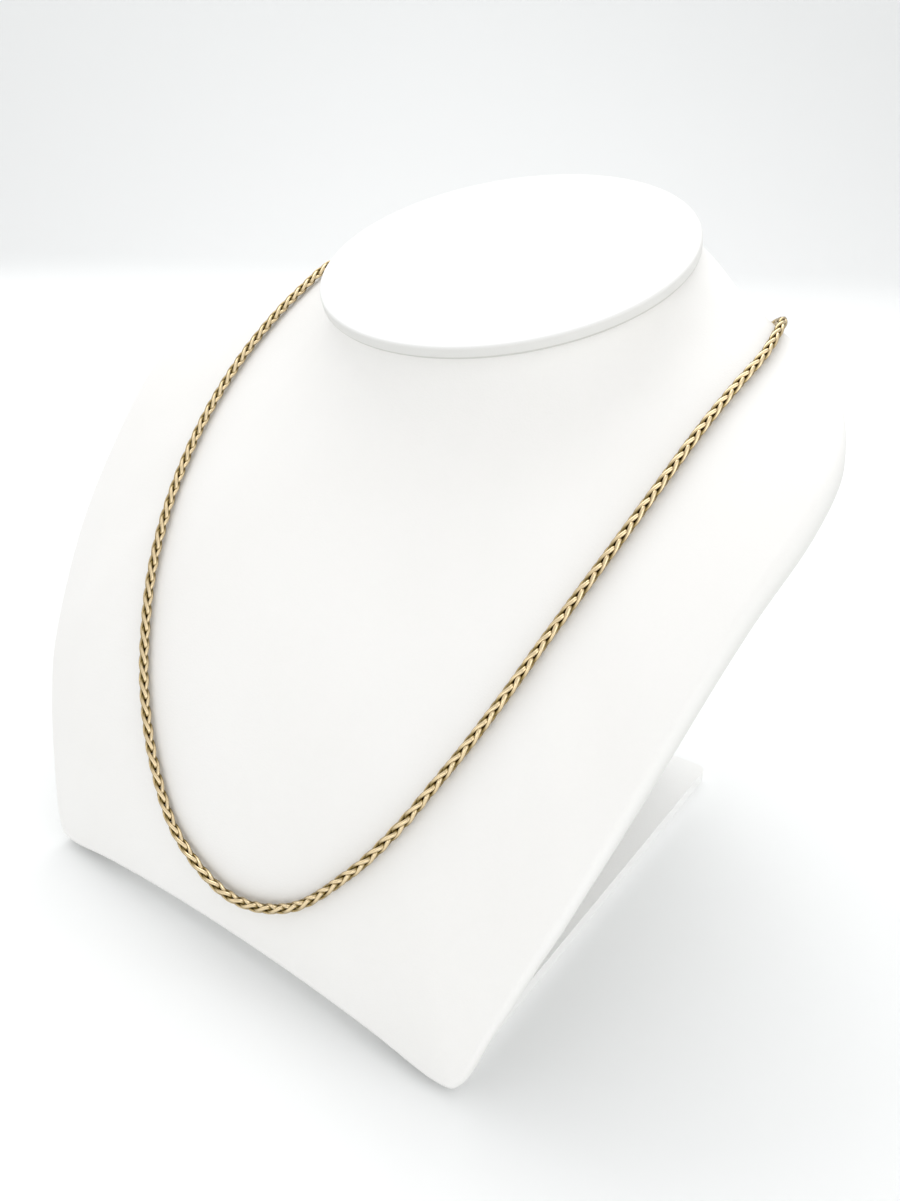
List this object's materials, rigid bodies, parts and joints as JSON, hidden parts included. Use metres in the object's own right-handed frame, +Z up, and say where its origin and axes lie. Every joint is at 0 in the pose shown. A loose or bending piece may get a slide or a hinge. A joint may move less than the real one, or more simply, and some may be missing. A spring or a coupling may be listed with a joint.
{
  "type": "wheat chain necklace on a plain neck bust",
  "caption": "Gold wheat chain of fine plaited links, worn as one loop round a plain white leatherette neck bust on a flat base board.",
  "frame": {"origin": "middle of the underside, where the base board stands", "axes": "+Z up, -Y to the front of the bust, +X to the wearer's left"},
  "size_m": [0.2038, 0.1641, 0.1763],
  "materials": {
    "gold": "polished warm yellow gold",
    "leatherette": "smooth white leatherette with a faint grain",
    "plate_leatherette": "smooth white leatherette with a faint grain",
    "board": "board covered in white leatherette"
  },
  "bodies": {
    "root": {"chain": "gold", "clasp": "gold", "bust": "leatherette", "neck_plate": "plate_leatherette", "base_board": "board"}
  },
  "joints": []
}
